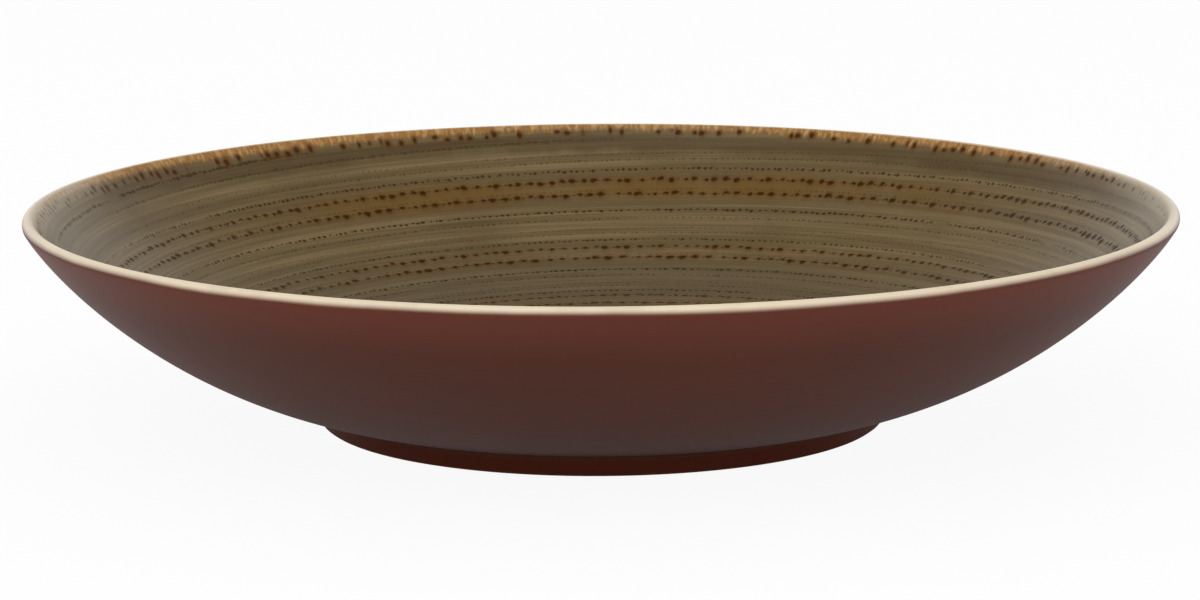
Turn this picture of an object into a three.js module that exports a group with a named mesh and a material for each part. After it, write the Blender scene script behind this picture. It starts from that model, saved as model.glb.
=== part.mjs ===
// Deep coupe plate: a clay body, turned in one piece with its foot ring, under four fired glaze coats.
// A khaki coat with a spiral of throwing rings lines the inside, a pale one rounds the lip, a red-brown one
// covers the outside, and the same red-brown lines the well under the foot ring. The standing face of the
// foot ring stays bare.
// Millimetres, +Z up. The origin lies on the table, at the centre of the foot ring. The front is at -Y.
import * as THREE from "three";

// Glazed plate, overall
const RIM_DIAMETER = 260;
const HEIGHT = 49;
const FOOT_DIAMETER = 128;

// Clay body
const FOOT_HEIGHT = 4.8; // table to the crease under the wall
const FOOT_FACE_WIDTH = 4; // flat of the standing face
const FOOT_EDGE_RADIUS = 0.4; // rounding on both sides of the standing face
const CREASE_RADIUS = 1.2; // hollow where the foot ring meets the wall
const FOOT_DRAFT = 25; // lean of the foot ring's inner face from the vertical, in degrees
const WELL_DEPTH = 3.4; // hollow inside the foot ring
const FLOOR_THICKNESS = 4.8;
const FLOOR_RISE = 1.4; // flat of the floor to the root of the wall
const LIP_THICKNESS = 2;
const WALL_SLOPE_AT_FOOT = 11.5; // degrees from the horizontal
const WALL_SLOPE_AT_RIM = 58.5;
const PULL_AT_FOOT = 0.445; // how far the wall keeps its end slopes, as shares of its chord
const PULL_AT_RIM = 0.175;

// Glaze coats
const GLAZE_THICKNESS = 0.4;
const BOND_GAP = 0.02; // hairline between a coat and its neighbours, so that no two solids share a face
const BARE_FOOT_HEIGHT = 0.5; // the coats stop this far above the table
const PALE_LIP_START = 5; // degrees round the lip, from its outermost point over the top
const PALE_LIP_END = 130;

// Throwing rings: a pair of low ridges in the inside glaze that winds from the lip to the middle
const RING_PITCH = 19.6; // one turn of the pair to the next
const RING_PAIR_SPACING = 3.6; // between the crests of the pair
const RING_FRONT_RADIUS = 106; // where the outer crest of one turn passes the front of the plate
const RING_WIDTH = 2.2; // each ridge at its foot
const RING_HEIGHT = 0.3;
const RING_FADE = 12; // run over which the ridges die away at both ends
const RING_LIP_MARGIN = 5; // plain band inside the edge of the coat
const RING_EYE_RADIUS = 12; // plain middle of the floor, at the least

// Facets
const SEGMENTS = 52; // round the plate
const WALL_STEPS = 9;
const FLOOR_STEPS = 3;
const EDGE_STEPS = 2;
const CREASE_STEPS = 2;
const LIP_STEPS = 4;
const LIP_SHOULDER_STEPS = 2;
const SMOOTH_STEPS = 60; // along the wall where the ringed face is read off it

const { clamp, degToRad, lerp, mapLinear } = THREE.MathUtils;
const point = (radius, height) => new THREE.Vector2(radius, height);
const heading = (degrees) => point(Math.cos(degToRad(degrees)), Math.sin(degToRad(degrees)));

// Radii and heights of the clay that follow from the sizes above
const coatDepth = GLAZE_THICKNESS + BOND_GAP;
const footRadius = FOOT_DIAMETER / 2 - coatDepth;
const footFaceOuter = footRadius - FOOT_EDGE_RADIUS;
const footFaceInner = footFaceOuter - FOOT_FACE_WIDTH;
const footInnerRadius = footFaceInner - FOOT_EDGE_RADIUS;
const floorHeight = WELL_DEPTH + FLOOR_THICKNESS;
const corner = point(footRadius, FOOT_HEIGHT);
const creaseReach = CREASE_RADIUS * Math.tan(degToRad((90 - WALL_SLOPE_AT_FOOT) / 2));
const lipRadius = LIP_THICKNESS / 2;
const lipCentre = point(RIM_DIAMETER / 2 - coatDepth - lipRadius, HEIGHT - coatDepth - lipRadius);
const lipOuterAngle = WALL_SLOPE_AT_RIM - 90;
const lipInnerAngle = WALL_SLOPE_AT_RIM + 90;

// Points of an arc, from one angle to a larger one in degrees
function arc(centre, radius, from, to, steps) {
  return new THREE.EllipseCurve(centre.x, centre.y, radius, radius, degToRad(from), degToRad(to)).getPoints(steps);
}

// Stretches of the clay section, in order: under the well, round the foot ring, up the wall and over the lip
function wellSection() {
  const leanPerHeight = Math.tan(degToRad(FOOT_DRAFT));
  const innerFace = (height) => point(footInnerRadius - (height - FOOT_EDGE_RADIUS) * leanPerHeight, height);
  return [point(0, WELL_DEPTH), innerFace(WELL_DEPTH), innerFace(BARE_FOOT_HEIGHT)];
}

function standingSection() {
  const inner = point(footFaceInner, FOOT_EDGE_RADIUS);
  const outer = point(footFaceOuter, FOOT_EDGE_RADIUS);
  return [
    ...arc(inner, FOOT_EDGE_RADIUS, 180, 270, EDGE_STEPS),
    ...arc(outer, FOOT_EDGE_RADIUS, 270, 360, EDGE_STEPS),
  ];
}

function creaseSection() {
  const centre = point(footRadius + CREASE_RADIUS, FOOT_HEIGHT - creaseReach);
  return arc(centre, CREASE_RADIUS, 90 + WALL_SLOPE_AT_FOOT, 180, CREASE_STEPS).reverse();
}

function outerWall() {
  const root = corner.clone().addScaledVector(heading(WALL_SLOPE_AT_FOOT), creaseReach);
  const top = lipCentre.clone().addScaledVector(heading(lipOuterAngle), lipRadius);
  const chord = root.distanceTo(top);
  const low = root.clone().addScaledVector(heading(WALL_SLOPE_AT_FOOT), chord * PULL_AT_FOOT);
  const high = top.clone().addScaledVector(heading(WALL_SLOPE_AT_RIM), -chord * PULL_AT_RIM);
  return new THREE.CubicBezierCurve(root, low, high, top);
}

// A point of the inner face, over the outer one at a thickness that tapers evenly from the root to the lip
function innerWallPoint(wall, share) {
  const rootHeight = floorHeight + FLOOR_RISE - FOOT_HEIGHT;
  const rootThickness = rootHeight / Math.cos(degToRad(WALL_SLOPE_AT_FOOT));
  const along = wall.getTangent(share);
  const inwards = point(-along.y, along.x);
  return wall.getPoint(share).addScaledVector(inwards, lerp(rootThickness, LIP_THICKNESS, share));
}

function innerWallSection(wall, steps) {
  return Array.from({ length: steps + 1 }, (_, step) => innerWallPoint(wall, 1 - step / steps));
}

// The floor leaves the wall's root at the wall's own slope and eases into the flat
function floorSection(wall, steps) {
  const root = innerWallPoint(wall, 0);
  const above = innerWallPoint(wall, 1 / SMOOTH_STEPS);
  const run = (FLOOR_RISE * (above.x - root.x)) / (above.y - root.y);
  const bend = point(root.x - run, floorHeight);
  const flat = point(root.x - 2 * run, floorHeight);
  return [...new THREE.QuadraticBezierCurve(root, bend, flat).getPoints(steps), point(0, floorHeight)];
}

// The clay section as one run of points from axis to axis, with the places where its stretches end
function claySection(wallSteps, floorSteps) {
  const wall = outerWall();
  const stretches = {
    well: wellSection(),
    standing: standingSection(),
    foot: [point(footRadius, BARE_FOOT_HEIGHT)],
    crease: creaseSection(),
    wall: wall.getPoints(wallSteps).slice(1),
    outerShoulder: arc(lipCentre, lipRadius, lipOuterAngle, PALE_LIP_START, LIP_SHOULDER_STEPS).slice(1),
    lip: arc(lipCentre, lipRadius, PALE_LIP_START, PALE_LIP_END, LIP_STEPS).slice(1),
    innerShoulder: arc(lipCentre, lipRadius, PALE_LIP_END, lipInnerAngle, LIP_SHOULDER_STEPS).slice(1, -1),
    innerWall: innerWallSection(wall, wallSteps),
    floor: floorSection(wall, floorSteps).slice(1),
  };
  const points = [];
  const last = {};
  for (const [name, stretch] of Object.entries(stretches)) {
    points.push(...stretch);
    last[name] = points.length - 1;
  }
  return { points, last };
}

// Mitred normals of a section, pointing out of the clay
function outwardNormals(points) {
  const across = (from, to) => {
    const run = to.clone().sub(from).normalize();
    return point(run.y, -run.x);
  };
  return points.map((here, index) => {
    const before = index > 0 ? across(points[index - 1], here) : null;
    const after = index < points.length - 1 ? across(here, points[index + 1]) : null;
    const first = before ?? after;
    const second = after ?? before;
    return first.clone().add(second).divideScalar(1 + first.dot(second));
  });
}

// A coat over a clay section, between two of its points: its outer face, and the face that lies on the clay
function coatFaces(clay, from, to) {
  const normals = outwardNormals(clay);
  const face = (depth) => {
    const run = [];
    for (let index = from; index <= to; index++) {
      run.push(clay[index].clone().addScaledVector(normals[index], depth));
    }
    const cutBack = (end, next) => end.add(next.clone().sub(end).setLength(BOND_GAP));
    if (run[0].x > 0) cutBack(run[0], run[1]);
    if (run.at(-1).x > 0) cutBack(run.at(-1), run.at(-2));
    return run;
  };
  return { outer: face(coatDepth), bond: face(BOND_GAP).reverse() };
}

// A section turned round the axis, closed on itself unless it starts and ends there
function turned(section) {
  const closed = section[0].x === 0 ? section : [...section, section[0]];
  return new THREE.LatheGeometry(closed, SEGMENTS);
}

// The inside face as a height for each radius, read off a finely stepped section
function insideFace() {
  const { points, last } = claySection(SMOOTH_STEPS, SMOOTH_STEPS);
  const face = coatFaces(points, last.lip, last.floor).outer;
  return (radius) => {
    const next = face.findIndex((place) => place.x < radius);
    return mapLinear(radius, face[next - 1].x, face[next].x, face[next - 1].y, face[next].y);
  };
}

// Rows of points that follow the throwing rings, as radii at the front of the plate, from the lip inwards
function ringRows(inner, outer) {
  const half = RING_WIDTH / 2;
  const pattern = [0, RING_PAIR_SPACING].flatMap((crest) => [
    { drop: crest - half, rise: 0 },
    { drop: crest, rise: RING_HEIGHT },
    { drop: crest + half, rise: 0 },
  ]);
  pattern.push({ drop: (RING_PAIR_SPACING + RING_PITCH) / 2, rise: 0 });
  const firstTurn = Math.floor((RING_FRONT_RADIUS - outer) / RING_PITCH) - 1;
  const lastTurn = Math.ceil((RING_FRONT_RADIUS - inner) / RING_PITCH);
  const rows = [];
  for (let turn = firstTurn; turn <= lastTurn; turn++) {
    for (const { drop, rise } of pattern) {
      rows.push({ radius: RING_FRONT_RADIUS - turn * RING_PITCH - drop, rise });
    }
  }
  return rows.filter((row) => row.radius > inner && row.radius < outer + RING_PITCH);
}

// The inside coat is turned like the rest, and then its rows wind inwards by one pitch in each turn.
// A row starts on the circle at the lip and ends on the one at the eye, so each turn runs into the next.
function ringedCoat({ outer: face, bond }) {
  const start = face[0].x - RING_LIP_MARGIN;
  const turns = Math.floor((start - RING_EYE_RADIUS) / RING_PITCH);
  const end = start - turns * RING_PITCH;
  const heightAt = insideFace();
  const onFace = (radius) => point(radius, heightAt(radius));
  const rows = ringRows(end, start);
  const plainRim = [...face.filter((place) => place.x > start), onFace(start)];
  const plainEye = [onFace(end), ...face.filter((place) => place.x < end)];
  const section = [...plainRim, ...rows.map(() => onFace(start)), ...plainEye, ...bond];
  const geometry = turned(section);
  const stride = geometry.parameters.points.length;
  for (let column = 0; column <= SEGMENTS; column++) {
    const turn = column / SEGMENTS;
    const angle = turn * 2 * Math.PI;
    rows.forEach((row, index) => {
      const radius = clamp(row.radius - turn * RING_PITCH, end, start);
      const strength = clamp(Math.min(start - radius, radius - end) / RING_FADE, 0, 1);
      const vertex = column * stride + plainRim.length + index;
      const height = heightAt(radius) + row.rise * strength;
      geometry.attributes.position.setXYZ(vertex, radius * Math.sin(angle), height, radius * Math.cos(angle));
    });
  }
  geometry.computeVertexNormals();
  return geometry;
}

const { points: clay, last } = claySection(WALL_STEPS, FLOOR_STEPS);
const coat = (from, to) => coatFaces(clay, from, to);
const plainCoat = ({ outer, bond }) => turned([...outer, ...bond]);

const finish = (color, roughness) => new THREE.MeshStandardMaterial({ color, roughness, metalness: 0 });
const ivoryClay = finish(0xd9cbb2, 0.85);
const khakiGlaze = finish(0x74664c, 0.35);
const paleGlaze = finish(0xe9dac0, 0.3);
const redBrownGlaze = finish(0x57332b, 0.55);

// Lathes turn round Y, so each piece is tipped up to turn round Z
function piece(name, geometry, material) {
  const mesh = new THREE.Mesh(geometry.rotateX(Math.PI / 2), material);
  mesh.name = name;
  return mesh;
}

const plate = new THREE.Group();
plate.add(
  piece("clay_body", turned(clay), ivoryClay),
  piece("inside_glaze", ringedCoat(coat(last.lip, last.floor)), khakiGlaze),
  piece("lip_glaze", plainCoat(coat(last.outerShoulder, last.lip)), paleGlaze),
  piece("outside_glaze", plainCoat(coat(last.foot, last.outerShoulder)), redBrownGlaze),
  piece("foot_well_glaze", plainCoat(coat(0, last.well)), redBrownGlaze),
);

export default plate;
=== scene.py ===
"""Fine model of a deep coupe plate: a turned clay body under four fired glaze coats, on a plain stage.

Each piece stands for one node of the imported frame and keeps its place. Lengths are in metres, +Z is up, the
front is at -Y, and the origin lies on the floor at the centre of the foot ring.
"""

import math

import bpy
from mathutils import Matrix, Vector


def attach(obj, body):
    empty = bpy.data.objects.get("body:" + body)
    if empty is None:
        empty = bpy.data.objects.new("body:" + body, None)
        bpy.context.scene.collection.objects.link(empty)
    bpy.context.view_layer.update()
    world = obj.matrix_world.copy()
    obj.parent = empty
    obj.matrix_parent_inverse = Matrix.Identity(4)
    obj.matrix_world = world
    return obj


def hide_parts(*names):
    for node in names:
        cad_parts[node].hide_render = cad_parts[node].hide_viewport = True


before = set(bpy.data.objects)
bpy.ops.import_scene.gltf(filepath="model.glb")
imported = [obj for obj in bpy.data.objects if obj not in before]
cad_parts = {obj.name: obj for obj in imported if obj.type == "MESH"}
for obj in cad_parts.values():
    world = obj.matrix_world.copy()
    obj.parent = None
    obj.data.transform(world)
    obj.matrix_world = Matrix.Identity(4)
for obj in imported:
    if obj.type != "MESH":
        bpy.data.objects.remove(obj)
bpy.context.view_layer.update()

bl_info = {
    "name": "Deep Coupe Plate",
    "version": (1, 0, 0),
    "blender": (4, 5, 0),
    "location": "View3D > Sidebar > Plate",
    "description": "Models a turned stoneware plate with its glaze coats and a plain stage",
    "category": "Mesh",
}

TAU = 2 * math.pi
MM = 0.001

# Facets of the fine pieces
TURN_STEPS = 320
WALL_STEPS = 48
FLOOR_STEPS = 10
EDGE_STEPS = 4
CREASE_STEPS = 6
LIP_STEPS = 20
SHOULDER_STEPS = 8
FACE_WALL_STEPS = 124
FACE_FLOOR_STEPS = 26
FACE_FLAT_STEPS = 52
SEAM_GAP = 0.004 * MM
FLOOR_GAP = 0.02 * MM
MERGE_DISTANCE = 0.001 * MM
SMOOTH_ANGLE = math.radians(40)
WALL_ROOT_SHARE = 1 / 60  # stretch of the inner wall that gives the slope at its root
RUNS_ROUND_LIP = 250.0

WHITE = (1.0, 1.0, 1.0, 1.0)
FLOOR_GREY = (0.9, 0.9, 0.9, 1.0)
SENSOR_WIDTH = 36.0

# Rows of the throwing spiral: how far inside the leading row each one runs, how far apart its dots are, half
# a dot's length and width, all in mm, and the share of the full ridge that it has
MAIN_ROWS = (
    {"drop": 0.0, "spacing": 2.8, "long": 0.72, "wide": 0.5, "ridge": 1.0},
    {"drop": 3.6, "spacing": 3.1, "long": 0.86, "wide": 0.54, "ridge": 1.0},
)
# The lesser rows also have how strongly they show, and how much their dots grow next to the lip
FINE_ROWS = (
    {"drop": 0.1, "spacing": 1.7, "long": 0.34, "wide": 0.26, "ridge": 0.0, "show": 0.7, "rim_growth": 0.0},
    {"drop": 2.4, "spacing": 1.5, "long": 0.3, "wide": 0.22, "ridge": 0.15, "show": 0.5, "rim_growth": 0.0},
    {"drop": 3.8, "spacing": 1.6, "long": 0.36, "wide": 0.27, "ridge": 0.0, "show": 0.7, "rim_growth": 0.0},
    {"drop": 8.0, "spacing": 1.6, "long": 0.46, "wide": 0.32, "ridge": 0.35, "show": 0.95, "rim_growth": 0.8},
    {"drop": 10.3, "spacing": 1.5, "long": 0.36, "wide": 0.24, "ridge": 0.25, "show": 0.6, "rim_growth": 0.6},
    {"drop": 13.4, "spacing": 1.6, "long": 0.3, "wide": 0.22, "ridge": 0.2, "show": 0.4, "rim_growth": 0.0},
    {"drop": 14.8, "spacing": 1.4, "long": 0.32, "wide": 0.22, "ridge": 0.2, "show": 0.5, "rim_growth": 0.0},
    {"drop": 17.0, "spacing": 1.5, "long": 0.44, "wide": 0.3, "ridge": 0.3, "show": 0.9, "rim_growth": 0.0},
)


def length(name, description, millimetres):
    return bpy.props.FloatProperty(
        name=name, description=description, default=millimetres * MM, min=0.0, precision=5, unit="LENGTH"
    )


def slope(name, description, degrees):
    return bpy.props.FloatProperty(
        name=name, description=description, default=math.radians(degrees), subtype="ANGLE"
    )


def amount(name, description, default):
    return bpy.props.FloatProperty(name=name, description=description, default=default, precision=3)


def colour(name, description, red, green, blue):
    """A colour property, from display values of 0 to 255."""
    shares = [value / 255 for value in (red, green, blue)]
    linear = [share / 12.92 if share <= 0.04045 else ((share + 0.055) / 1.055) ** 2.4 for share in shares]
    return bpy.props.FloatVectorProperty(
        name=name, description=description, default=linear, size=3, min=0.0, max=1.0, subtype="COLOR"
    )


class PlateSizes(bpy.types.PropertyGroup):
    """Sizes of the plate, as in the frame's source"""

    rim_diameter: length("Rim diameter", "Across the outside of the glazed lip", 260)
    height: length("Height", "From the floor to the top of the lip", 49)
    foot_diameter: length("Foot diameter", "Across the outside of the glazed foot ring", 128)
    foot_height: length("Foot height", "From the floor to the crease under the wall", 4.8)
    foot_face_width: length("Foot face width", "Flat of the bare standing face", 4)
    foot_edge_radius: length("Foot edge radius", "Rounding on both sides of the standing face", 0.4)
    foot_draft: slope("Foot draft", "Lean of the foot ring's inner face", 25)
    crease_radius: length("Crease radius", "Hollow where the foot ring meets the wall", 1.2)
    well_depth: length("Well depth", "Hollow inside the foot ring", 3.4)
    floor_thickness: length("Floor thickness", "Clay in the middle of the floor", 4.8)
    floor_rise: length("Floor rise", "From the flat of the floor to the root of the wall", 1.4)
    lip_thickness: length("Lip thickness", "Clay at the lip", 2)
    wall_slope_at_foot: slope("Wall slope at foot", "Slope of the wall where it leaves the foot", 11.5)
    wall_slope_at_rim: slope("Wall slope at rim", "Slope of the wall where it meets the lip", 58.5)
    pull_at_foot: amount("Pull at foot", "Reach of the wall's lower slope, as a share of its chord", 0.445)
    pull_at_rim: amount("Pull at rim", "Reach of the wall's upper slope, as a share of its chord", 0.175)
    glaze_thickness: length("Glaze thickness", "Thickness of every glaze coat", 0.4)
    bond_gap: length("Bond gap", "Hairline between a coat and the clay", 0.02)
    bare_foot_height: length("Bare foot height", "Bare clay above the floor", 0.5)
    pale_lip_start: slope("Pale lip start", "Outer end of the pale coat, round from the outermost point", 5)
    pale_lip_end: slope("Pale lip end", "Inner end of the pale coat", 130)
    ring_pitch: length("Ring pitch", "From one turn of the throwing spiral to the next", 19.6)
    ring_front_radius: length("Ring front radius", "Where the leading row passes the front of the plate", 106)
    ring_height: length("Ring height", "Height of the spiral's main ridges", 0.3)
    ring_width: length("Ring width", "Width of the spiral's main ridges", 2.2)
    ring_fade: length("Ring fade", "Run over which the ridges die away at both ends", 12)
    ring_start_radius: length("Ring start radius", "Outer end of the spiral", 122.7)
    ring_end_radius: length("Ring end radius", "Inner end of the spiral", 24.7)


class GlazeColours(bpy.types.PropertyGroup):
    """Colours of the clay and of its glazes"""

    khaki: colour("Khaki", "Main colour of the inside glaze", 105, 88, 56)
    moss: colour("Moss", "Greener, paler streaks of the inside glaze", 132, 112, 75)
    umber: colour("Umber", "Darker, browner streaks of the inside glaze", 80, 62, 36)
    stone: colour("Stone", "Greyer tone of the inside glaze towards the floor", 92, 79, 60)
    amber: colour("Amber", "Where the inside glaze runs thin over the main rings", 112, 83, 33)
    rust: colour("Rust", "Halo round the dark dots and runs", 98, 63, 22)
    speckle: colour("Speckle", "Dark dots along the main rings", 58, 35, 6)
    fine_speckle: colour("Fine speckle", "Small dots along the lesser rings", 64, 46, 18)
    rim_rust: colour("Rim rust", "Fringe of the inside glaze at the lip", 157, 109, 50)
    rim_tan: colour("Rim tan", "Paler spots of that fringe", 196, 153, 93)
    # Also painted at the two ends of the X axis as a pale veil below the lip and a greying of the lip, partly
    # as glare
    rim_pale: colour("Rim pale", "Inside glaze at the lip where it has no rust", 184, 167, 138)
    rim_tear: colour("Rim tear", "Dark runs that hang from the fringe", 70, 40, 10)
    ivory: colour("Ivory", "Pale coat of the lip", 231, 214, 186)
    ivory_shade: colour("Ivory shade", "Thin and stained places of the pale coat", 200, 181, 146)
    red_brown: colour("Red-brown", "Main colour of the outside glaze", 79, 40, 28)
    red_brown_thin: colour("Thin red-brown", "Outside glaze where it runs thin under the lip", 97, 49, 36)
    # Partly painted light: the deep red-brown where the glaze pools at the foot, brightened to stand in for
    # light bounced up from the floor
    red_brown_deep_and_bounce_light: colour("Deep red-brown", "Outside glaze where it pools at the foot", 98, 40, 20)
    # Painted light: a paler red-brown across the crease above the foot, which softens and lowers the crease's
    # shade
    crease_painted_light: colour("Crease red-brown", "Outside glaze in the crease above the foot", 92, 57, 40)
    clay: colour("Clay", "Bare clay of the standing face", 196, 176, 146)
    clay_grain: colour("Clay grain", "Dark grains in the bare clay", 140, 116, 86)


class StageSettings(bpy.types.PropertyGroup):
    """Floor, light and camera"""

    floor_size: length("Floor size", "Side of the floor", 8000)
    floor_white: amount("Floor white", "Share of the floor that stays white in the plate's shadow", 0.93)
    floor_gloss: amount("Floor gloss", "The same share where the floor shows in the plate's own gloss", 0.26)
    surround: amount("Surround", "Brightness of the white surround as a light", 0.8)
    ceiling: amount("Ceiling", "Brightness of the surround overhead, as the gloss shows it", 0.1)
    softbox_size: length("Softbox size", "Side of the softbox", 1200)
    softbox_distance: length("Softbox distance", "From the softbox to the plate", 1450)
    softbox_elevation: slope("Softbox elevation", "Height of the softbox above the floor, as an angle", 46)
    softbox_turn: slope("Softbox turn", "How far round to the left of the camera the softbox stands", 15)
    softbox_power: amount("Softbox power", "Power of the softbox in watts", 6.0)
    camera_distance: length("Camera distance", "From the camera to the centre of the foot", 950)
    camera_elevation: slope("Camera elevation", "Height of the camera above the floor, as an angle", 12.024)
    camera_pitch: slope("Camera pitch", "How far down the camera looks", 10.444)
    camera_yaw: slope("Camera yaw", "How far to the right the camera looks", -0.02)
    camera_roll: slope("Camera roll", "Turn of the camera about its own axis", -0.37)
    camera_lens: amount("Camera lens", "Focal length in mm on a sensor 36 mm wide", 124.6)


def heading(angle):
    return Vector((math.cos(angle), math.sin(angle)))


def between(first, second, share):
    return first + (second - first) * share


def arc(centre, radius, start, end, steps):
    """Points of an arc in the section, both ends among them."""
    return [centre + heading(between(start, end, step / steps)) * radius for step in range(steps + 1)]


class PlateSection:
    """The plate's section, as points of radius and height, by the same rules as the frame's source."""

    def __init__(self, sizes, wall_steps=WALL_STEPS, floor_steps=FLOOR_STEPS):
        self.sizes = sizes
        self.coat_depth = sizes.glaze_thickness + sizes.bond_gap
        self.foot_radius = sizes.foot_diameter / 2 - self.coat_depth
        self.floor_height = sizes.well_depth + sizes.floor_thickness
        self.lip_radius = sizes.lip_thickness / 2
        lip_inset = self.coat_depth + self.lip_radius
        self.lip_centre = Vector((sizes.rim_diameter / 2 - lip_inset, sizes.height - lip_inset))
        self.lip_outer_angle = sizes.wall_slope_at_rim - math.pi / 2
        self.lip_inner_angle = sizes.wall_slope_at_rim + math.pi / 2
        self.crease_reach = sizes.crease_radius * math.tan((math.pi / 2 - sizes.wall_slope_at_foot) / 2)
        self.wall_handles = self.find_wall_handles()
        self.points = []
        self.last = {}
        for name, stretch in self.stretches(wall_steps, floor_steps).items():
            self.points.extend(stretch)
            self.last[name] = len(self.points) - 1

    def find_wall_handles(self):
        """The four points that steer the outer wall's curve."""
        sizes = self.sizes
        rise = heading(sizes.wall_slope_at_foot)
        root = Vector((self.foot_radius, sizes.foot_height)) + rise * self.crease_reach
        top = self.lip_centre + heading(self.lip_outer_angle) * self.lip_radius
        chord = (top - root).length
        low = root + rise * chord * sizes.pull_at_foot
        high = top - heading(sizes.wall_slope_at_rim) * chord * sizes.pull_at_rim
        return root, low, high, top

    def outer_wall(self, share):
        root, low, high, top = self.wall_handles
        rest = 1 - share
        return root * rest**3 + low * (3 * rest**2 * share) + high * (3 * rest * share**2) + top * share**3

    def inner_wall(self, share):
        """A point of the inner face, at a thickness that tapers evenly from the root to the lip."""
        sizes = self.sizes
        root, low, high, top = self.wall_handles
        rest = 1 - share
        along = (low - root) * rest**2 + (high - low) * (2 * rest * share) + (top - high) * share**2
        along.normalize()
        root_height = self.floor_height + sizes.floor_rise - sizes.foot_height
        thickness = between(root_height / math.cos(sizes.wall_slope_at_foot), sizes.lip_thickness, share)
        return self.outer_wall(share) + Vector((-along.y, along.x)) * thickness

    def well(self):
        sizes = self.sizes
        inner_radius = self.foot_radius - 2 * sizes.foot_edge_radius - sizes.foot_face_width
        lean = math.tan(sizes.foot_draft)
        places = [Vector((0, sizes.well_depth))]
        for height in (sizes.well_depth, sizes.bare_foot_height):
            places.append(Vector((inner_radius - (height - sizes.foot_edge_radius) * lean, height)))
        return places

    def standing_face(self):
        edge = self.sizes.foot_edge_radius
        outer = self.foot_radius - edge
        inner = outer - self.sizes.foot_face_width
        quarter = math.pi / 2
        return arc(Vector((inner, edge)), edge, 2 * quarter, 3 * quarter, EDGE_STEPS) + arc(
            Vector((outer, edge)), edge, 3 * quarter, 4 * quarter, EDGE_STEPS
        )

    def crease(self):
        radius = self.sizes.crease_radius
        centre = Vector((self.foot_radius + radius, self.sizes.foot_height - self.crease_reach))
        return arc(centre, radius, math.pi, math.pi / 2 + self.sizes.wall_slope_at_foot, CREASE_STEPS)

    def floor(self, steps):
        """The floor leaves the wall's root at the wall's own slope and eases into the flat."""
        root = self.inner_wall(0)
        above = self.inner_wall(WALL_ROOT_SHARE)
        run = self.sizes.floor_rise * (above.x - root.x) / (above.y - root.y)
        bend = Vector((root.x - run, self.floor_height))
        flat = Vector((root.x - 2 * run, self.floor_height))
        places = []
        for step in range(1, steps + 1):
            share = step / steps
            places.append(between(between(root, bend, share), between(bend, flat, share), share))
        return places

    def stretches(self, wall_steps, floor_steps):
        """The clay's outline from under the middle of the well round to the middle of the floor."""
        sizes = self.sizes
        centre, radius = self.lip_centre, self.lip_radius
        start, end = sizes.pale_lip_start, sizes.pale_lip_end
        return {
            "well": self.well(),
            "standing": self.standing_face(),
            "foot": [Vector((self.foot_radius, sizes.bare_foot_height))],
            "crease": self.crease(),
            "wall": [self.outer_wall(step / wall_steps) for step in range(1, wall_steps + 1)],
            "outer_shoulder": arc(centre, radius, self.lip_outer_angle, start, SHOULDER_STEPS)[1:],
            "lip": arc(centre, radius, start, end, LIP_STEPS)[1:],
            "inner_shoulder": arc(centre, radius, end, self.lip_inner_angle, SHOULDER_STEPS)[1:-1],
            "inner_wall": [self.inner_wall(1 - step / wall_steps) for step in range(wall_steps + 1)],
            "floor": self.floor(floor_steps),
            "eye": [Vector((0, self.floor_height))],
        }

    def outward(self, index):
        """The mitred direction out of the clay at a point of its outline."""
        sides = []
        for first in (index - 1, index):
            if 0 <= first < len(self.points) - 1:
                run = (self.points[first + 1] - self.points[first]).normalized()
                sides.append(Vector((run.y, -run.x)))
        return (sides[0] + sides[-1]) / (1 + sides[0].dot(sides[-1]))

    def coat_face(self, start, end, depth):
        """A coat's face at a depth over the clay, with its free ends cut back from the coats beside it."""
        face = [self.points[index] + self.outward(index) * depth for index in range(start, end + 1)]
        for free, beside in ((0, 1), (-1, -2)):
            if face[free].x > 0:
                face[free] = face[free] + (face[beside] - face[free]).normalized() * SEAM_GAP
        return face

    def coat(self, start, end):
        """Outline of a coat between two points of the clay: its outer face, then the face on the clay."""
        bond = self.coat_face(start, end, self.sizes.bond_gap)
        return self.coat_face(start, end, self.coat_depth) + bond[::-1]


def turned_piece(name, outline):
    """Extrudes one vertex along an outline, from axis to axis or round and closed, and spins it round Z."""
    bpy.ops.object.select_all(action="DESELECT")
    bpy.ops.mesh.primitive_plane_add(size=MM)
    piece = bpy.context.object
    piece.name = name
    piece.data.name = name
    bpy.ops.object.mode_set(mode="EDIT")
    bpy.ops.mesh.select_all(action="SELECT")
    bpy.ops.mesh.merge(type="CENTER")
    reach = Vector((outline[0].x, 0, outline[0].y))
    bpy.ops.transform.translate(value=reach)
    stops = list(outline) if outline[0].x == 0 else [*outline, outline[0]]
    for here, there in zip(stops, stops[1:]):
        step = Vector((there.x - here.x, 0, there.y - here.y))
        bpy.ops.mesh.extrude_vertices_move(TRANSFORM_OT_translate={"value": step})
    bpy.ops.mesh.select_all(action="SELECT")
    bpy.ops.mesh.spin(steps=TURN_STEPS, angle=TAU, center=(0, 0, 0), axis=(0, 0, 1))
    bpy.ops.mesh.select_all(action="SELECT")
    bpy.ops.mesh.remove_doubles(threshold=MERGE_DISTANCE)
    bpy.ops.mesh.normals_make_consistent(inside=False)
    bpy.ops.mesh.select_all(action="DESELECT")
    bpy.ops.mesh.select_non_manifold()
    bpy.ops.object.mode_set(mode="OBJECT")
    if not piece.data.polygons or any(edge.select for edge in piece.data.edges):
        raise RuntimeError(f"{name} isn't a closed shell")
    bpy.ops.object.shade_smooth_by_angle(angle=SMOOTH_ANGLE)
    return piece


def settle(piece, node, material):
    """Gives a piece its finish and lets it stand for a node of the frame."""
    piece.data.materials.clear()
    piece.data.materials.append(material)
    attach(piece, "root")
    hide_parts(node)


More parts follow.
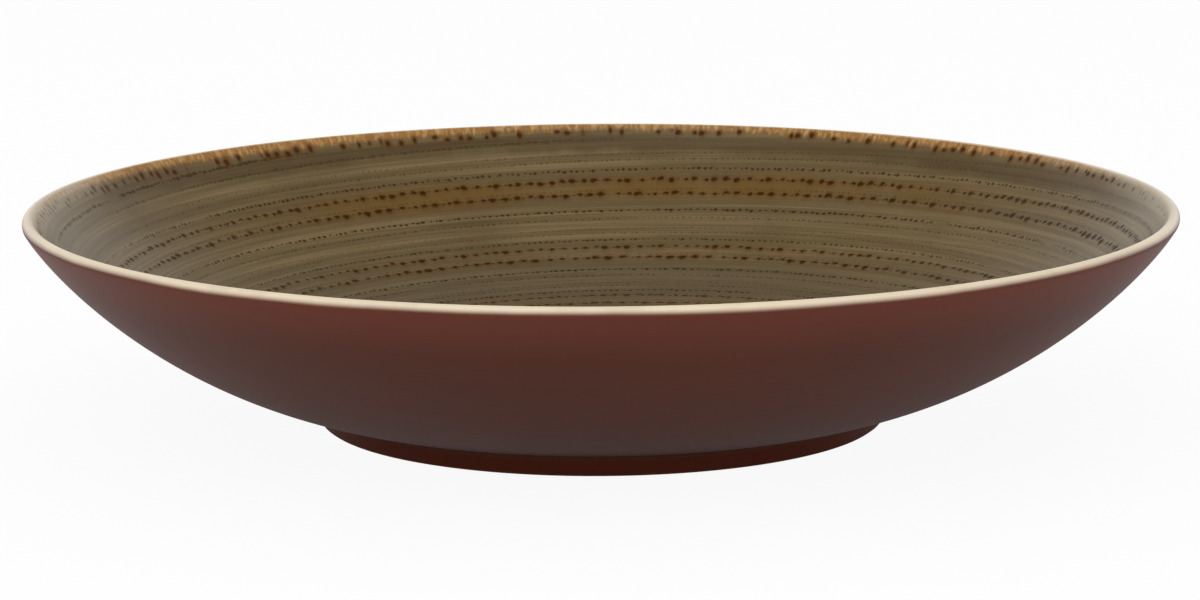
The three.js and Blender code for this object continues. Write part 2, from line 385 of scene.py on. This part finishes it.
def ring_lift(sizes, radius, angle):
    """Share of the full ridge at a place of the inside face."""
    edge = min(sizes.ring_start_radius - radius, radius - sizes.ring_end_radius)
    fade = min(max(edge / sizes.ring_fade, 0.0), 1.0)
    if fade == 0.0:
        return 0.0
    lift = 0.0
    for row in (*MAIN_ROWS, *FINE_ROWS):
        turns = (sizes.ring_front_radius - row["drop"] * MM - radius) / sizes.ring_pitch - angle / TAU - 0.25
        across = (turns - round(turns)) * sizes.ring_pitch
        spread = sizes.ring_width / 2 * (0.45 + 0.2 * row["ridge"])
        uneven = 0.85 + 0.15 * math.sin(5 * angle + 3 * row["drop"])
        lift = max(lift, row["ridge"] * uneven * math.exp(-((across / spread) ** 2)))
    return lift * fade


def raise_rings(piece, sizes):
    """Lifts the throwing rings out of the inside face with a weighted Displace modifier."""
    rings = piece.vertex_groups.new(name="throwing_rings")
    for vertex in piece.data.vertices:
        x, y, _ = vertex.co
        radius = math.hypot(x, y)
        if vertex.normal.z > 0 and sizes.ring_end_radius < radius < sizes.ring_start_radius:
            rings.add([vertex.index], ring_lift(sizes, radius, math.atan2(y, x)), "REPLACE")
    bpy.ops.object.modifier_add(type="DISPLACE")
    lift = piece.modifiers[-1]
    lift.vertex_group = rings.name
    lift.direction = "NORMAL"
    lift.mid_level = 0.0
    lift.strength = sizes.ring_height
    bpy.ops.object.modifier_apply(modifier=lift.name)
    piece.vertex_groups.clear()


class Wire:
    """A socket of a node. Python's operators on it add Math nodes."""

    def __init__(self, recipe, socket):
        self.recipe = recipe
        self.socket = socket

    def output(self, name):
        """Another output of the same node."""
        return Wire(self.recipe, self.socket.node.outputs[name])

    def __add__(self, other):
        return self.recipe.math("ADD", self, other)

    def __sub__(self, other):
        return self.recipe.math("SUBTRACT", self, other)

    def __rsub__(self, other):
        return self.recipe.math("SUBTRACT", other, self)

    def __mul__(self, other):
        return self.recipe.math("MULTIPLY", self, other)

    def __truediv__(self, other):
        return self.recipe.math("DIVIDE", self, other)

    def __rtruediv__(self, other):
        return self.recipe.math("DIVIDE", other, self)

    def __abs__(self):
        return self.recipe.math("ABSOLUTE", self)

    __radd__ = __add__
    __rmul__ = __mul__


class Recipe:
    """Builds the nodes of a material, or of the surround."""

    def __init__(self, owner):
        owner.use_nodes = True
        self.owner = owner
        self.tree = owner.node_tree
        self.tree.nodes.clear()

    def add(self, kind, settings=None, sockets=None, output=0):
        """Adds a node, sets its settings, then fills its sockets, and returns one of its outputs."""
        node = self.tree.nodes.new(kind)
        for name, value in (settings or {}).items():
            setattr(node, name, value)
        for name, value in (sockets or {}).items():
            if isinstance(value, Wire):
                self.tree.links.new(value.socket, node.inputs[name])
            else:
                node.inputs[name].default_value = value
        return Wire(self, node.outputs[output]) if node.outputs else None

    def math(self, operation, *values):
        return self.add("ShaderNodeMath", {"operation": operation}, dict(enumerate(values)))

    def reach(self, first, second):
        """Length of the diagonal of two lengths."""
        return self.math("SQRT", first * first + second * second)

    def soft(self, value, start, end):
        """A smooth step from 0 at start to 1 at end."""
        limits = {"Value": value, "From Min": start, "From Max": end, "To Min": 0.0, "To Max": 1.0}
        return self.add("ShaderNodeMapRange", {"interpolation_type": "SMOOTHSTEP"}, limits)

    def mix(self, share, first, second):
        tones = [tone if isinstance(tone, Wire) else (*tone, 1.0) for tone in (first, second)]
        sockets = {0: share, 6: tones[0], 7: tones[1]}
        return self.add("ShaderNodeMix", {"data_type": "RGBA"}, sockets, output=2)

    def vector(self, x, y, z):
        return self.add("ShaderNodeCombineXYZ", None, {"X": x, "Y": y, "Z": z})

    def noise(self, place, scale, detail=2.0, roughness=0.5, w=None):
        sockets = {"Vector": place, "Scale": scale, "Detail": detail, "Roughness": roughness}
        if w is None:
            return self.add("ShaderNodeTexNoise", None, sockets)
        return self.add("ShaderNodeTexNoise", {"noise_dimensions": "4D"}, {**sockets, "W": w})

    def beads(self, run, randomness):
        """Beads a unit apart along a run: how far the nearest one is, and three chances of its own."""
        sockets = {"W": run, "Scale": 1.0, "Randomness": randomness}
        far = self.add("ShaderNodeTexVoronoi", {"voronoi_dimensions": "1D"}, sockets, "Distance")
        chance = self.add("ShaderNodeSeparateColor", None, {"Color": far.output("Color")}, "Red")
        return far, (chance, chance.output("Green"), chance.output("Blue"))

    def turned_place(self):
        """Radius and height in mm, cosine and sine of the angle round the axis, and the plain coordinates."""
        place = self.add("ShaderNodeTexCoord", None, None, "Object")
        apart = self.add("ShaderNodeSeparateXYZ", None, {"Vector": place})
        x, y, z = (apart.output(axis) * 1000.0 for axis in "XYZ")
        radius = self.reach(x, y)
        return radius, z, x / radius, y / radius, place

    def finish(self, base, roughness, height, specular, dry=None):
        """Ends a material in a Principled shader, with its height in mm. A dry share loses its gloss."""
        bump = self.add("ShaderNodeBump", None, {"Height": height, "Strength": 1.0, "Distance": MM})
        sockets = {"Base Color": base, "Roughness": roughness, "Specular IOR Level": specular, "Normal": bump}
        shader = self.add("ShaderNodeBsdfPrincipled", None, sockets)
        if dry is not None:
            sockets.update({"Roughness": 1.0, "Specular IOR Level": 0.0})
            matt = self.add("ShaderNodeBsdfPrincipled", None, sockets)
            shader = self.add("ShaderNodeMixShader", None, {0: dry, 1: shader, 2: matt})
        self.add("ShaderNodeOutputMaterial", None, {"Surface": shader})
        return self.owner


def rim_edges(sizes, section):
    """Heights in mm at which the pale coat meets the outside coat and the inside coat."""
    reach = section.lip_radius + section.coat_depth
    ends = (sizes.pale_lip_start, sizes.pale_lip_end)
    return [(section.lip_centre.y + reach * math.sin(end)) / MM for end in ends]


def outer_pale(recipe, sizes, section, z, cosine, sine):
    """Share of the pale coat at its outer edge, which fades into the outside coat along an uneven line."""
    edge = rim_edges(sizes, section)[0]
    wobble = (recipe.noise(recipe.vector(cosine, sine, 0.0), 3.4, 3.0, 0.55) - 0.5) * 0.9
    lift = recipe.soft(abs(cosine), 0.6, 0.95) * 0.3 + wobble
    return recipe.soft(z - lift, edge - 0.5, edge + 0.95)


def fringeless_ends_and_glare(recipe, cosine):
    """The two short stretches of the rim, at the ends of the X axis, where the rust fringe gives out and the
    glaze is paled, partly as painted glare.
    """
    return recipe.soft(abs(cosine) - cosine * 0.012, 0.92, 0.99)


def rim_tone(recipe, colours, cosine, sine, z):
    """Colour of the inside glaze where it thins out on the lip, from rust to pale, and how warm it is."""
    drift = recipe.noise(recipe.vector(cosine, sine, 0.0), 2.3, 2.0) - 0.5
    # Warmth: rust at the back and front that pales towards the two ends of the X axis; part of that paling is
    # painted glare
    warmth = recipe.soft(abs(sine) * 0.985 - cosine * 0.17 + drift * 0.6, 0.05, 0.5) * 0.92 + 0.04
    warmth = warmth * (1.0 - fringeless_ends_and_glare(recipe, cosine) * 0.8)
    mottle = recipe.noise(recipe.vector(cosine, sine, z * 0.004), 120.0, 3.0, 0.65)
    rust = recipe.mix(recipe.soft(mottle, 0.42, 0.66), colours.rim_rust, colours.rim_tan)
    return recipe.mix(warmth, colours.rim_pale, rust), warmth


def ring_dots(recipe, row, spiral, seed, grow=1.0):
    """Dots along one row of the spiral: their mask, a halo round them, and a thin line that joins them."""
    turns_at, share, pitch, front, ragged = spiral
    turns = turns_at - row["drop"] / pitch
    turn = recipe.math("FLOOR", turns + 0.5)
    across = (turns - turn) * pitch
    wound = turn + share
    along = wound * (TAU * (front - row["drop"])) - wound * wound * (math.pi * pitch)
    far, (size_chance, side_chance, _) = recipe.beads(along / row["spacing"] + seed, 0.5)
    size = size_chance * 0.7 + 0.6
    run = far * row["spacing"] / (size * row["long"] * grow)
    side = (across - (side_chance - 0.5) * row["wide"]) / (size * row["wide"])
    reach = recipe.reach(run, side) + ragged
    return recipe.soft(reach, 1.35, 0.5), recipe.soft(reach, 3.2, 0.8), recipe.soft(abs(across), 0.36, 0.05)


def make_khaki_glaze(sizes, colours, section):
    """Inside glaze: streaks and dots along the spiral, and a rust fringe at the lip."""
    recipe = Recipe(bpy.data.materials.new("khaki_glaze_finish"))
    radius, z, cosine, sine, place = recipe.turned_place()
    share = recipe.math("ARCTAN2", sine, cosine) * (1 / TAU) + 0.25
    pitch = sizes.ring_pitch / MM
    front = sizes.ring_front_radius / MM
    turns_at = (front - radius) * (1 / pitch) - share

    # Streaks that run along the spiral, and slower changes of tone
    lap = turns_at * TAU
    lap_cosine = recipe.math("COSINE", lap)
    lap_sine = recipe.math("SINE", lap)
    streak_place = recipe.vector(lap_cosine * 2.6, lap_sine * 2.6, cosine * 1.1)
    streak = recipe.noise(streak_place, 1.0, 4.0, 0.6, sine * 1.1)
    line_place = recipe.vector(lap_cosine * 10.0, lap_sine * 10.0, cosine * 2.4)
    lines = recipe.noise(line_place, 1.0, 3.0, 0.55, sine * 2.4)
    cloud = recipe.noise(place, 26.0, 3.0, 0.55)
    grain = recipe.noise(place, 1300.0, 2.0, 0.6)
    base = recipe.mix(recipe.soft(streak, 0.4, 0.68), colours.khaki, colours.moss)
    base = recipe.mix(recipe.soft(lines, 0.5, 0.25) * 0.6, base, colours.umber)
    base = recipe.mix(recipe.soft(cloud, 0.48, 0.72) * 0.3, base, colours.umber)
    base = recipe.mix(recipe.soft(radius, 104.0, 82.0) * 0.55, base, colours.stone)
    base = recipe.mix(recipe.soft(grain, 0.5, 0.72) * 0.16, base, colours.umber)

    # Amber where the glaze runs thin over the two main rings
    lead = (turns_at - recipe.math("FLOOR", turns_at + 0.28)) * pitch
    band = recipe.soft(lead, -4.2, 0.8) * recipe.soft(lead, 7.0, 3.2)
    # Both ends of the X axis, where the amber, the rust halos and the dots are toned down: partly the glaze's
    # own change, partly painted glare
    ends = recipe.soft(abs(sine), 0.92, 0.5)
    thin = band * (recipe.soft(radius, 94.0, 112.0) * 0.74 + 0.16) * recipe.soft(streak + cloud, 0.75, 1.1)
    base = recipe.mix(thin * (1.0 - ends * 0.85), base, colours.amber)

    # Dots along the rows, which even out towards the floor
    ragged = (recipe.noise(place, 1100.0, 1.0) - 0.5) * 1.1
    spiral = (turns_at, share, pitch, front, ragged)
    calm = recipe.soft(radius, 14.0, 30.0)
    even = recipe.soft(radius, 94.0, 78.0)
    # The two ends of the X axis, where the rust fringe gives out and the fine dots and runs fade, partly as
    # painted glare
    bare = fringeless_ends_and_glare(recipe, cosine)
    inner = calm * recipe.soft(radius, 126.0, 124.8) * (even * 0.45 + 1.0) * (1.0 - bare * 0.45)
    outer = calm * (1.0 - even * 0.3)
    pits = 0.0
    dry = 0.0
    for index, row in enumerate(FINE_ROWS):
        grow = recipe.soft(radius, 121.0, 123.0) * row["rim_growth"] + 1.0
        dots, _, line = ring_dots(recipe, row, spiral, 37.3 * index + 11.7, grow)
        toned_down = recipe.soft(recipe.noise(place, 46.0 + 7.0 * index, 1.0), 0.22, 0.45)
        mark = (dots * 0.95 + line * (grow * 0.2 - 0.08)) * toned_down * inner * row["show"]
        base = recipe.mix(recipe.math("MINIMUM", mark, 1.0), base, colours.fine_speckle)
        pits = mark * 0.02 + pits
        dry = recipe.math("MAXIMUM", mark * 0.8, dry)
    for index, row in enumerate(MAIN_ROWS):
        dots, halo, line = ring_dots(recipe, row, spiral, 53.9 * index + 5.3)
        base = recipe.mix(halo * calm * (0.5 - ends * 0.42) * (1.0 - even * 0.75), base, colours.rust)
        base = recipe.mix(line * calm * 0.1, base, colours.fine_speckle)
        base = recipe.mix(dots * outer * (0.95 - ends * 0.17), base, colours.speckle)
        pits = dots * 0.05 + pits
        dry = recipe.math("MAXIMUM", dots * outer, dry)

    # Fringe at the lip: a darker band below, rust that pales to the edge, and dark runs that hang from it
    depth = rim_edges(sizes, section)[1] - z
    ring = recipe.vector(cosine, sine, 0.0)
    fray = recipe.noise(ring, 75.0, 3.0, 0.65) - 0.5
    sway = recipe.noise(ring, 9.0, 2.0) - 0.5
    shade = recipe.soft(depth, 1.2, 3.4) * recipe.soft(depth + sway * 4.0 + fray * 1.2, 7.0, 4.6)
    # At the two ends the darker band gives way to a pale veil below the lip: partly the glaze's paler tone,
    # partly painted glare
    base = recipe.mix(shade * (0.6 - bare * 0.6), base, colours.umber)
    base = recipe.mix(recipe.soft(depth, 4.4, 0.2) * bare * 0.5, base, colours.rim_pale)
    tone, warmth = rim_tone(recipe, colours, cosine, sine, z)
    hang = recipe.soft(cosine, 0.1, -0.7)
    comb = (recipe.noise(ring, 150.0, 2.0, 0.6) - 0.5) * (warmth * 2.4 + 0.4)
    aside = recipe.soft(cosine, 0.1, 0.6) * recipe.soft(cosine, 0.97, 0.82) * 0.6
    width = hang * 0.7 + aside - recipe.soft(abs(cosine), 0.7, 0.95) * 0.5
    tone = recipe.mix(recipe.soft(depth + fray * 1.2 - width * 0.6, 0.2, 2.2) * 0.8, tone, colours.rust)
    base = recipe.mix(recipe.soft(depth + fray * 1.8 + comb - width, 1.8, 0.3), base, tone)
    far, chances = recipe.beads(share * RUNS_ROUND_LIP, 0.85)
    dense = recipe.soft(chances[0] + sway * 1.6, 0.18, 0.32) * (1.0 - bare * 0.5)
    wide = far * 3.2 / (chances[0] * 0.55 + 0.36)
    low = chances[1] * 0.9 + hang * 0.9 + 1.0
    long = (depth - low) / ((chances[2] * 0.45 + 0.4) * (hang * 0.15 + 1.0))
    reach = recipe.reach(wide, long) + ragged * 0.6
    tear = recipe.soft(reach, 1.25, 0.45) * dense * 0.9
    base = recipe.mix(recipe.soft(reach, 2.4, 0.8) * dense * warmth * 0.75, base, colours.rust)
    base = recipe.mix(tear, base, colours.rim_tear)
    dry = recipe.math("MAXIMUM", tear, dry)

    roughness = 0.3 + grain * 0.08 + pits * 2.0
    return recipe.finish(base, roughness, grain * 0.004 + lines * 0.03 - pits, 0.29, dry * (0.9 - ends * 0.3))


def make_pale_glaze(sizes, colours, section):
    """Ivory glaze of the lip, which fades into the coats on both sides."""
    recipe = Recipe(bpy.data.materials.new("pale_glaze_finish"))
    radius, z, cosine, sine, place = recipe.turned_place()
    cloud = recipe.noise(place, 90.0, 3.0, 0.6)
    grain = recipe.noise(place, 1500.0, 2.0, 0.6)
    base = recipe.mix(recipe.soft(cloud, 0.48, 0.75) * 0.3, colours.ivory, colours.ivory_shade)
    base = recipe.mix(recipe.soft(grain, 0.66, 0.74) * 0.25, base, colours.ivory_shade)
    middle = section.lip_centre.x / MM
    tone, _ = rim_tone(recipe, colours, cosine, sine, z)
    aside = recipe.soft(cosine, 0.35, 0.75) * 0.3 + 0.15
    shift = recipe.math("MAXIMUM", recipe.soft(sine, 0.2, -0.4) * 0.6, aside)
    inward = radius + (cloud - 0.5) * 0.5 + shift
    base = recipe.mix(recipe.soft(inward, middle + 0.3, middle - 0.7), base, tone)
    # The lip's inner half greys towards the two ends of the X axis: partly its own tone, partly a painted
    # reflection
    toned_down = recipe.soft(radius, middle + 1.3, middle - 0.9) * fringeless_ends_and_glare(recipe, cosine)
    base = recipe.mix(toned_down * 0.75, base, colours.rim_pale)
    base = recipe.mix(outer_pale(recipe, sizes, section, z, cosine, sine), colours.red_brown_thin, base)
    return recipe.finish(base, 0.28 + grain * 0.1, grain * 0.006, 0.4)


def make_red_brown_glaze(sizes, colours, section):
    """Satin-matt glaze of the outside and the well, thin under the lip and deep at the foot. The foot's
    colour is partly painted bounce light, and a paler band across the crease is painted light.
    """
    recipe = Recipe(bpy.data.materials.new("red_brown_glaze_finish"))
    radius, z, cosine, sine, place = recipe.turned_place()
    turning = recipe.noise(recipe.vector(z * 0.9 + radius * 0.5, cosine * 0.8, sine * 0.8), 1.0, 4.0, 0.6)
    cloud = recipe.noise(place, 22.0, 3.0, 0.5)
    grain = recipe.noise(place, 1800.0, 2.0, 0.6)
    base = recipe.mix(recipe.soft(z, 34.0, 47.4), colours.red_brown, colours.red_brown_thin)
    # Deeper red-brown towards the foot: pooled glaze, partly painted light that stands in for the floor's
    # bounce light
    base = recipe.mix(recipe.soft(z, 8.0, 3.6) * 0.85, base, colours.red_brown_deep_and_bounce_light)
    # Painted light: a paler band across the crease above the foot, so that the crease's shade looks lower and
    # softer
    base = recipe.mix(recipe.soft(z, 2.9, 4.5) * recipe.soft(z, 6.0, 4.8), base, colours.crease_painted_light)
    base = recipe.mix(recipe.soft(turning, 0.55, 0.8) * 0.18, base, colours.red_brown_deep_and_bounce_light)
    base = recipe.mix(recipe.soft(cloud, 0.45, 0.75) * 0.2, base, colours.red_brown_thin)
    base = recipe.mix(outer_pale(recipe, sizes, section, z, cosine, sine), base, colours.ivory)
    roughness = 0.4 + grain * 0.1 + cloud * 0.06
    return recipe.finish(base, roughness, grain * 0.006 + turning * 0.03, 0.11)


def make_bare_clay(sizes, colours, section):
    """Dry clay of the standing face, stained where the glaze ends beside it."""
    recipe = Recipe(bpy.data.materials.new("bare_clay_finish"))
    radius, _, _, _, place = recipe.turned_place()
    cloud = recipe.noise(place, 60.0, 3.0, 0.6)
    grain = recipe.noise(place, 1100.0, 3.0, 0.7)
    base = recipe.mix(recipe.soft(grain, 0.58, 0.72) * 0.7, colours.clay, colours.clay_grain)
    base = recipe.mix(recipe.soft(cloud, 0.5, 0.8) * 0.3, base, colours.clay_grain)
    outer = (section.foot_radius - sizes.foot_edge_radius) / MM
    inner = outer - sizes.foot_face_width / MM
    for edge, side in ((outer, 1), (inner, -1)):
        stain = recipe.soft(radius, edge - side * 0.25, edge + side * 0.1)
        base = recipe.mix(stain * 0.92, base, colours.red_brown_deep_and_bounce_light)
    return recipe.finish(base, 0.82 + grain * 0.1, grain * 0.03, 0.3)


def finish_of(slot, make):
    """The finish of a slot, made once and shared by the pieces that have it."""
    scene = bpy.context.scene
    ready = bpy.data.materials.get(f"{slot}_finish")
    return ready or make(scene.plate_sizes, scene.glaze_colours, PlateSection(scene.plate_sizes))


class PLATE_OT_add_clay_body(bpy.types.Operator):
    """Turn the clay body with its foot ring"""

    bl_idname = "plate.add_clay_body"
    bl_label = "Clay Body"

    def execute(self, context):
        section = PlateSection(context.scene.plate_sizes)
        piece = turned_piece("plate_clay_body", section.points)
        settle(piece, "clay_body", finish_of("bare_clay", make_bare_clay))
        return {"FINISHED"}


class PLATE_OT_add_inside_glaze(bpy.types.Operator):
    """Turn the inside coat and raise its spiral of throwing rings"""

    bl_idname = "plate.add_inside_glaze"
    bl_label = "Inside Glaze"

    def execute(self, context):
        sizes = context.scene.plate_sizes
        section = PlateSection(sizes)
        bond = section.coat_face(section.last["lip"], section.last["eye"], sizes.bond_gap)
        fine = PlateSection(sizes, FACE_WALL_STEPS, FACE_FLOOR_STEPS)
        face = fine.coat_face(fine.last["lip"], fine.last["floor"], fine.coat_depth)
        flat_start = fine.points[fine.last["floor"]].x
        face[-1] = Vector((flat_start, fine.floor_height + fine.coat_depth))
        for step in range(1, FACE_FLAT_STEPS + 1):
            face.append(Vector((flat_start * (1 - step / FACE_FLAT_STEPS), face[-1].y)))
        face[-1].x = 0.0
        piece = turned_piece("plate_inside_glaze", face[::-1] + bond)
        raise_rings(piece, sizes)
        settle(piece, "inside_glaze", finish_of("khaki_glaze", make_khaki_glaze))
        return {"FINISHED"}


class PLATE_OT_add_lip_glaze(bpy.types.Operator):
    """Turn the pale coat that rounds the lip"""

    bl_idname = "plate.add_lip_glaze"
    bl_label = "Lip Glaze"

    def execute(self, context):
        section = PlateSection(context.scene.plate_sizes)
        outline = section.coat(section.last["outer_shoulder"], section.last["lip"])
        piece = turned_piece("plate_lip_glaze", outline)
        settle(piece, "lip_glaze", finish_of("pale_glaze", make_pale_glaze))
        return {"FINISHED"}


class PLATE_OT_add_red_brown_coats(bpy.types.Operator):
    """Turn the two red-brown coats: the outside, and the well under the foot ring"""

    bl_idname = "plate.add_red_brown_coats"
    bl_label = "Red-brown Coats"

    def execute(self, context):
        section = PlateSection(context.scene.plate_sizes)
        last = section.last
        for node, start, end in (
            ("outside_glaze", last["foot"], last["outer_shoulder"]),
            ("foot_well_glaze", 0, last["well"]),
        ):
            piece = turned_piece(f"plate_{node}", section.coat(start, end))
            settle(piece, node, finish_of("red_brown_glaze", make_red_brown_glaze))
        return {"FINISHED"}


def ray_kinds(recipe):
    """Whether a ray comes straight from the camera, and whether it comes by gloss or through glass."""
    seen = recipe.add("ShaderNodeLightPath", None, None, "Is Camera Ray")
    return seen, recipe.math("MAXIMUM", seen.output("Is Glossy Ray"), seen.output("Is Transmission Ray"))


def add_floor(stage):
    """A white floor, seen as white but for a share of the plate's shadow."""
    bpy.ops.object.select_all(action="DESELECT")
    bpy.ops.mesh.primitive_plane_add(size=stage.floor_size, location=(0, 0, -FLOOR_GAP))
    floor = bpy.context.object
    floor.name = "stage_floor"
    recipe = Recipe(bpy.data.materials.new("stage_floor"))
    seen, gloss = ray_kinds(recipe)
    plain = recipe.math("MAXIMUM", seen * stage.floor_white, gloss * stage.floor_gloss)
    lit = recipe.add("ShaderNodeBsdfDiffuse", None, {"Color": FLOOR_GREY})
    white = recipe.add("ShaderNodeEmission", None, {"Color": WHITE, "Strength": 1.0})
    shown = recipe.add("ShaderNodeMixShader", None, {0: plain, 1: lit, 2: white})
    recipe.add("ShaderNodeOutputMaterial", None, {"Surface": shown})
    floor.data.materials.append(recipe.owner)


def add_surround(scene, stage):
    """A white surround that lights the plate softly, is seen as white, and is dimmer overhead in gloss."""
    scene.world = bpy.data.worlds.new("stage_surround")
    recipe = Recipe(scene.world)
    seen, gloss = ray_kinds(recipe)
    toward = recipe.add("ShaderNodeTexCoord", None, None, "Generated")
    rise = recipe.add("ShaderNodeSeparateXYZ", None, {"Vector": toward}, "Z")
    overhead = 1.0 - recipe.soft(rise, 0.2, 0.75) * (1.0 - stage.ceiling)
    light = (1.0 - recipe.math("MAXIMUM", seen, gloss)) * stage.surround + seen + gloss * overhead
    glow = recipe.add("ShaderNodeBackground", None, {"Color": WHITE, "Strength": light})
    recipe.add("ShaderNodeOutputWorld", None, {"Surface": glow})


def add_softbox(stage):
    rise, turn = stage.softbox_elevation, stage.softbox_turn
    toward = Vector((-math.sin(turn) * math.cos(rise), -math.cos(turn) * math.cos(rise), math.sin(rise)))
    bpy.ops.object.light_add(type="AREA", location=toward * stage.softbox_distance)
    lamp = bpy.context.object
    lamp.name = "stage_softbox"
    lamp.rotation_euler = toward.to_track_quat("Z", "Y").to_euler()
    lamp.data.shape = "SQUARE"
    lamp.data.size = stage.softbox_size
    lamp.data.energy = stage.softbox_power


def add_camera(scene, stage):
    bpy.ops.object.camera_add()
    camera = bpy.context.object
    camera.name = "stage_camera"
    pitch, yaw, roll = stage.camera_pitch, stage.camera_yaw, stage.camera_roll
    forward = Vector((math.sin(yaw) * math.cos(pitch), math.cos(yaw) * math.cos(pitch), -math.sin(pitch)))
    level = Vector((math.cos(yaw), -math.sin(yaw), 0.0))
    upright = level.cross(forward)
    right = level * math.cos(roll) + upright * math.sin(roll)
    up = upright * math.cos(roll) - level * math.sin(roll)
    pose = Matrix((right, up, -forward)).transposed().to_4x4()
    elevation = stage.camera_elevation
    pose.translation = Vector((0.0, -math.cos(elevation), math.sin(elevation))) * stage.camera_distance
    camera.matrix_world = pose
    camera.data.sensor_fit = "HORIZONTAL"
    camera.data.sensor_width = SENSOR_WIDTH
    camera.data.lens = stage.camera_lens
    camera.data.clip_start = 0.01
    scene.camera = camera


class PLATE_OT_add_stage(bpy.types.Operator):
    """Set up the white floor, the soft light and the camera"""

    bl_idname = "plate.add_stage"
    bl_label = "Stage"

    def execute(self, context):
        scene = context.scene
        stage = scene.stage_settings
        add_floor(stage)
        add_surround(scene, stage)
        add_softbox(stage)
        add_camera(scene, stage)
        scene.view_settings.view_transform = "Standard"
        return {"FINISHED"}


MAKERS = (
    PLATE_OT_add_clay_body,
    PLATE_OT_add_inside_glaze,
    PLATE_OT_add_lip_glaze,
    PLATE_OT_add_red_brown_coats,
    PLATE_OT_add_stage,
)


class VIEW3D_PT_plate(bpy.types.Panel):
    """Sizes and colours of the plate, and its pieces"""

    bl_idname = "VIEW3D_PT_plate"
    bl_label = "Deep Coupe Plate"
    bl_space_type = "VIEW_3D"
    bl_region_type = "UI"
    bl_category = "Plate"

    def draw(self, context):
        scene = context.scene
        for settings in (scene.plate_sizes, scene.glaze_colours, scene.stage_settings):
            fields = self.layout.box().column()
            for name in settings.__annotations__:
                fields.prop(settings, name)
        for maker in MAKERS:
            self.layout.operator(maker.bl_idname)


GROUPS = (("plate_sizes", PlateSizes), ("glaze_colours", GlazeColours), ("stage_settings", StageSettings))


def register():
    for name, group in GROUPS:
        bpy.utils.register_class(group)
        setattr(bpy.types.Scene, name, bpy.props.PointerProperty(type=group))
    for maker in (*MAKERS, VIEW3D_PT_plate):
        bpy.utils.register_class(maker)


def unregister():
    for maker in (VIEW3D_PT_plate, *reversed(MAKERS)):
        bpy.utils.unregister_class(maker)
    for name, group in reversed(GROUPS):
        delattr(bpy.types.Scene, name)
        bpy.utils.unregister_class(group)


def main():
    register()
    bpy.ops.plate.add_clay_body()
    bpy.ops.plate.add_inside_glaze()
    bpy.ops.plate.add_lip_glaze()
    bpy.ops.plate.add_red_brown_coats()
    bpy.ops.plate.add_stage()


if __name__ == "__main__":
    main()
